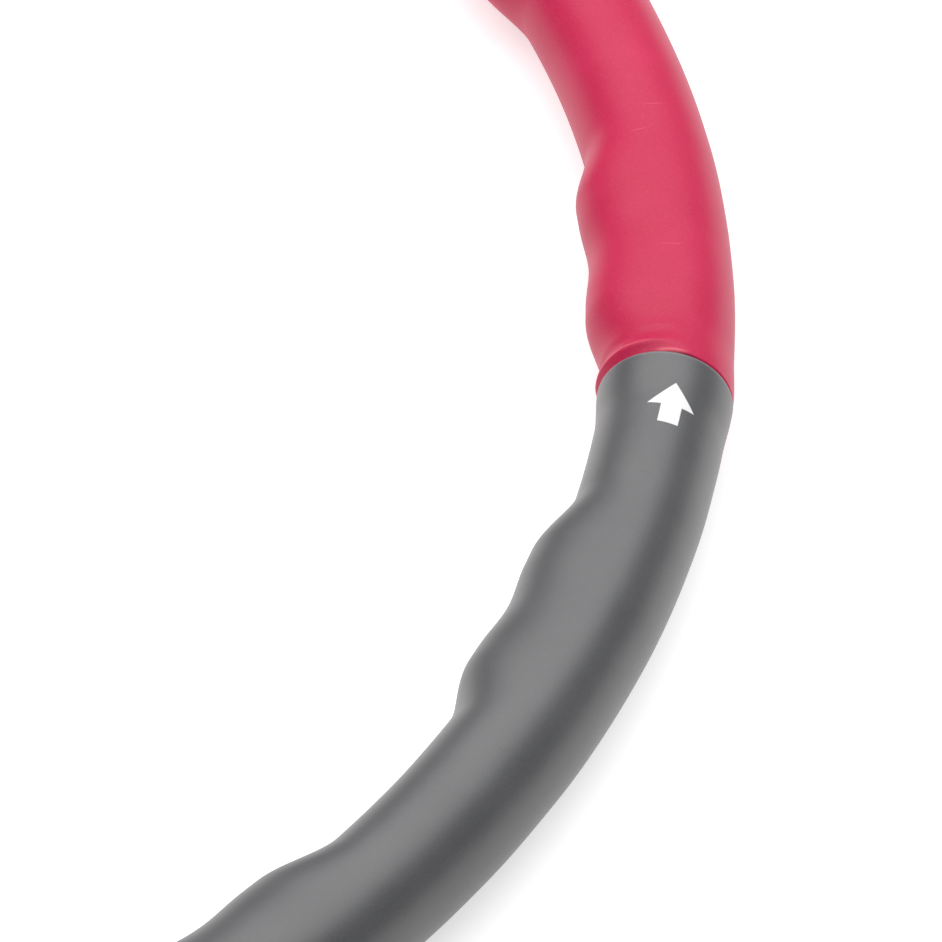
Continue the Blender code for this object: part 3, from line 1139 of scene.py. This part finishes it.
# %% Turn the plug
SPIGOT_RADIUS = 0.0075
SPIGOT_LENGTH = 0.030
SPIGOT_CHAMFER = 0.0012
PLUG_BORE_RADIUS = 0.0054
FIT_RADIUS = TUBE_RADIUS - TUBE_WALL - CLEARANCE
EDGE = 0.0003  # of the small roundings
RIB_END = 0.003
root_end = STRAIGHT_END - CLEARANCE
collar_face = COLLAR_THICKNESS / 2

plug = add_turned(
    "joint_plug_1",
    [
        (root_end, FIT_RADIUS - 2 * EDGE),
        (root_end - 2 * EDGE, FIT_RADIUS),
        (collar_face, FIT_RADIUS),
        (collar_face, TUBE_RADIUS - EDGE),
        (collar_face - EDGE, TUBE_RADIUS),
        (-collar_face + EDGE, TUBE_RADIUS),
        (-collar_face, TUBE_RADIUS - EDGE),
        (-collar_face, SPIGOT_RADIUS + EDGE),
        (-collar_face - EDGE, SPIGOT_RADIUS),
        (-RIB_END, SPIGOT_RADIUS),
        (RIB_END - SPIGOT_LENGTH, SPIGOT_RADIUS),
        (SPIGOT_CHAMFER - SPIGOT_LENGTH, SPIGOT_RADIUS),
        (EDGE - SPIGOT_LENGTH, SPIGOT_RADIUS - SPIGOT_CHAMFER + EDGE),
        (-SPIGOT_LENGTH, SPIGOT_RADIUS - SPIGOT_CHAMFER),
        (-SPIGOT_LENGTH, PLUG_BORE_RADIUS + EDGE),
        (EDGE - SPIGOT_LENGTH, PLUG_BORE_RADIUS),
        (collar_face, PLUG_BORE_RADIUS),
        (root_end, PLUG_BORE_RADIUS),
    ],
)
print("plug turned:", len(plug.data.polygons), "faces")

# %% Pockets between the spigot's ribs
POCKET_HALF_ANGLE = math.radians(24)
POCKET_DEPTH = 0.0005
POCKET_WALL = 0.0006


def in_pocket(middle, centre_angle):
    _, reach, around = from_core(middle)
    away = abs((around - centre_angle + math.pi) % math.tau - math.pi)
    on_spigot = RIB_END - SPIGOT_LENGTH < middle.y < -RIB_END and reach > PLUG_BORE_RADIUS + EDGE
    return on_spigot and away < POCKET_HALF_ANGLE


edit(plug)
for quarter in (1, 2, 3):
    select_faces(plug, lambda middle: in_pocket(middle, BUTTON_ANGLE + quarter * math.pi / 2))
    bpy.ops.mesh.inset(thickness=POCKET_WALL, depth=-POCKET_DEPTH)
stop_editing()
for vertex in plug.data.vertices:
    if vertex.co.y > collar_face + EDGE / 2:
        vertex.co.x -= vertex.co.y * LEAN
plug_hole = add_upright_cylinder("plug_hole", HOLE_RADIUS, 0, PAST_TUBE, BUTTON_FROM_JOINT)
plug_pin_hole = add_pin_cylinder("plug_pin_hole", PIN_RADIUS + CLEARANCE, 0, PAST_TUBE)
cut(plug, plug_hole, plug_pin_hole)
print("plug with pockets and holes:", len(plug.data.polygons), "faces")

# %% [markdown]
# ## The pin
# A short hollow pin of rolled steel holds the plug in the tube. It is a cylinder with bevelled rims
# whose top is inset and pushed in, because that hollow is all that shows from outside.

# %% The pin
PIN_HOLLOW = 0.0018
FLAT_SHARE = math.cos(math.pi / 12)  # of a radius, to the flats of the CAD's twelve-sided bores
pin_low = PLUG_BORE_RADIUS + CLEARANCE
pin_high = math.sqrt((BORE_RADIUS * FLAT_SHARE - CLEARANCE) ** 2 - PIN_RADIUS**2)
pin = add_pin_cylinder("pin_1", PIN_RADIUS, pin_low, pin_high)


def level_of(point):
    """A point's height above the spigot's centreline, along the button's line."""
    return (point - JOINT_CENTRE).dot(BUTTON_WAY)


edit(pin)
select_edges(pin, lambda a, b: abs(level_of(a) - level_of(b)) < EDGE)
bpy.ops.mesh.bevel(offset=EDGE / 2, segments=2, affect="EDGES")
select_faces(pin, lambda middle: level_of(middle - PIN_SHIFT) > pin_high - EDGE / 10)
bpy.ops.mesh.inset(thickness=PIN_RADIUS / 3)
bpy.ops.mesh.extrude_region_shrink_fatten(TRANSFORM_OT_shrink_fatten={"value": -PIN_HOLLOW})
stop_editing()
print("pin from", pin_low, "to", pin_high)

# %% [markdown]
# ## The socket liner
# The liner is a bush in the other end of the tube. Its outside leans with the tube's straight end and
# its bore lies in line with the spigot. It is modelled at the first joint, where it belongs to the last
# section, and its mouth is chamfered to lead the spigot in.

# %% The liner
LINER_BORE = SPIGOT_RADIUS + CLEARANCE
LEAD_IN = 0.0008
liner_end = -(SPIGOT_LENGTH + CLEARANCE)

liner = add_turned(
    f"liner_{SECTIONS}",
    [
        (-TUBE_GAP - EDGE, FIT_RADIUS),
        (liner_end + EDGE, FIT_RADIUS),
        (liner_end, FIT_RADIUS - EDGE),
        (liner_end, LINER_BORE + EDGE),
        (liner_end + EDGE, LINER_BORE),
        (-TUBE_GAP - LEAD_IN, LINER_BORE),
        (-TUBE_GAP, LINER_BORE + LEAD_IN),
        (-TUBE_GAP, FIT_RADIUS - EDGE),
    ],
)
for vertex in liner.data.vertices:
    if from_core(Vector((vertex.co.x, 0, vertex.co.z)))[1] > (LINER_BORE + FIT_RADIUS) / 2:
        vertex.co.x += vertex.co.y * LEAN
cut(liner, add_upright_cylinder("liner_hole", HOLE_RADIUS, 0, PAST_TUBE, BUTTON_FROM_JOINT))
print("liner:", len(liner.data.polygons), "faces")

# %% [markdown]
# ## The spring clip
# A strip of spring steel is folded to a V inside the spigot, and its upper leg carries the button. The
# strip is a ribbon: a narrow plane for the lower leg, whose far edge is extruded along the fold, and
# then given its thickness by Solidify and soft edges by Bevel.

# %% The strip
STRIP_WIDTH = 0.004
STRIP_THICKNESS = 0.0006
STRIP_END_MARGIN = 0.0015  # from the strip's ends to the spigot's tip
BEND_STEPS = 10
bore_flat = PLUG_BORE_RADIUS * FLAT_SHARE
strip_top = math.sqrt(bore_flat**2 - (STRIP_WIDTH / 2) ** 2) - CLEARANCE - STRIP_THICKNESS / 2
free_end = STRIP_END_MARGIN - SPIGOT_LENGTH
shoulder = 2 * BUTTON_RADIUS - BUTTON_FROM_JOINT
bend_radius = strip_top / 3
bend_middle = -COLLAR_THICKNESS - bend_radius

deselect_everything()
bpy.ops.mesh.primitive_plane_add(
    size=1,
    location=JOINT_CENTRE + Vector((0, (free_end + shoulder) / 2, 0)) - BUTTON_WAY * strip_top,
    rotation=(0, math.pi / 2 - BUTTON_ANGLE, 0),
)
strip = bpy.context.object
strip.name = "clip_strip_1"
strip.scale = (STRIP_WIDTH, shoulder - free_end, 1)
bpy.ops.object.transform_apply(location=True, rotation=True, scale=True)

fold = [(shoulder, -strip_top)]
for step in range(BEND_STEPS + 1):
    swing = -math.pi / 2 + math.pi * step / BEND_STEPS
    fold.append((bend_middle + bend_radius * math.cos(swing), bend_radius * math.sin(swing)))
fold += [(shoulder, strip_top), (free_end, strip_top)]
edit(strip)
select_edges(strip, lambda a, b: min(a.y, b.y) > shoulder - EDGE)
for (here, level), (there, next_level) in zip(fold, fold[1:]):
    step_way = Vector((0, there - here, 0)) + BUTTON_WAY * (next_level - level)
    bpy.ops.mesh.extrude_region_move(TRANSFORM_OT_translate={"value": step_way})
bpy.ops.mesh.select_all(action="SELECT")
bpy.ops.mesh.normals_make_consistent(inside=False)
stop_editing()
add_modifier(strip, "SOLIDIFY", thickness=STRIP_THICKNESS, offset=0)
add_modifier(strip, "BEVEL", width=STRIP_THICKNESS / 6, segments=2, angle_limit=math.radians(50))
print("strip:", len(strip.data.polygons), "faces")

# %% [markdown]
# The button is a round stud whose top is rounded so that it slides under the tube's edge, and whose
# foot is riveted through the strip: the foot's face is inset, pushed down and rounded off.

# %% The button
DOME = 0.0011
RIVET_DEPTH = 0.0009
button_low = strip_top + STRIP_THICKNESS / 2
button = add_upright_cylinder(
    "clip_button_1", BUTTON_RADIUS, button_low, BUTTON_TOP, BUTTON_FROM_JOINT
)
edit(button)
select_edges(button, lambda a, b: min(level_of(a), level_of(b)) > BUTTON_TOP - EDGE / 10)
bpy.ops.mesh.bevel(offset=DOME, segments=6, affect="EDGES")
select_faces(button, lambda middle: level_of(middle) < button_low + EDGE / 10)
bpy.ops.mesh.inset(thickness=BUTTON_RADIUS / 2)
bpy.ops.mesh.extrude_region_move(
    TRANSFORM_OT_translate={"value": BUTTON_WAY * -(STRIP_THICKNESS + RIVET_DEPTH)}
)
select_edges(button, lambda a, b: max(level_of(a), level_of(b)) < button_low - STRIP_THICKNESS)
bpy.ops.mesh.bevel(offset=RIVET_DEPTH / 3, segments=3, affect="EDGES")
bpy.ops.mesh.select_all(action="SELECT")
bpy.ops.mesh.normals_make_consistent(inside=False)
stop_editing()
print("button from", button_low, "to", BUTTON_TOP)

# %% [markdown]
# ## Copies of the core
# Each master gets its map, its finish and its smooth shading, and then its copies. The strip of the
# clip stays in its section while the button sinks, so it rides with the section. The button itself
# moves with the latch.

# %% Copy the core
SHARP_ANGLE = math.radians(35)


def copies_of(master, stem, finish, first=1):
    """The master, mapped and finished, and its copies for the other sections, by section number."""
    lay_map(master)
    master.data.materials.append(finish)
    pick(master)
    bpy.ops.object.shade_smooth_by_angle(angle=SHARP_ANGLE)
    made = {first: master}
    for step in range(1, SECTIONS):
        number = (first - 1 + step) % SECTIONS + 1
        made[number] = turned_copy(master, f"{stem}_{number}", step * SECTION_ANGLE)
    return made


# (master, name, finish, slot, CAD piece, section of the master)
CORE = (
    (tube, "tube", zinc_plate, "core_steel", "core_tube", 1),
    (plug, "joint_plug", black_plastic, "plug_plastic", "plug", 1),
    (pin, "pin", zinc_plate, "core_steel", "plug_pin", 1),
    (liner, "liner", natural_plastic, "liner_plastic", "socket_liner", SECTIONS),
)
for master, stem, finish, slot, cad_piece, first in CORE:
    for number, piece in copies_of(master, stem, finish, first).items():
        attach(piece, f"section_{number}")
        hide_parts(f"{cad_piece}_{number}")
for number, piece in copies_of(strip, "clip_strip", spring_steel).items():
    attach(piece, f"section_{number}")
    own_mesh(piece)
for number, piece in copies_of(button, "clip_button", spring_steel).items():
    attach(piece, f"latch_{number}")
    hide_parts(f"spring_clip_{number}")
print("core pieces:", (len(CORE) + 2) * SECTIONS)
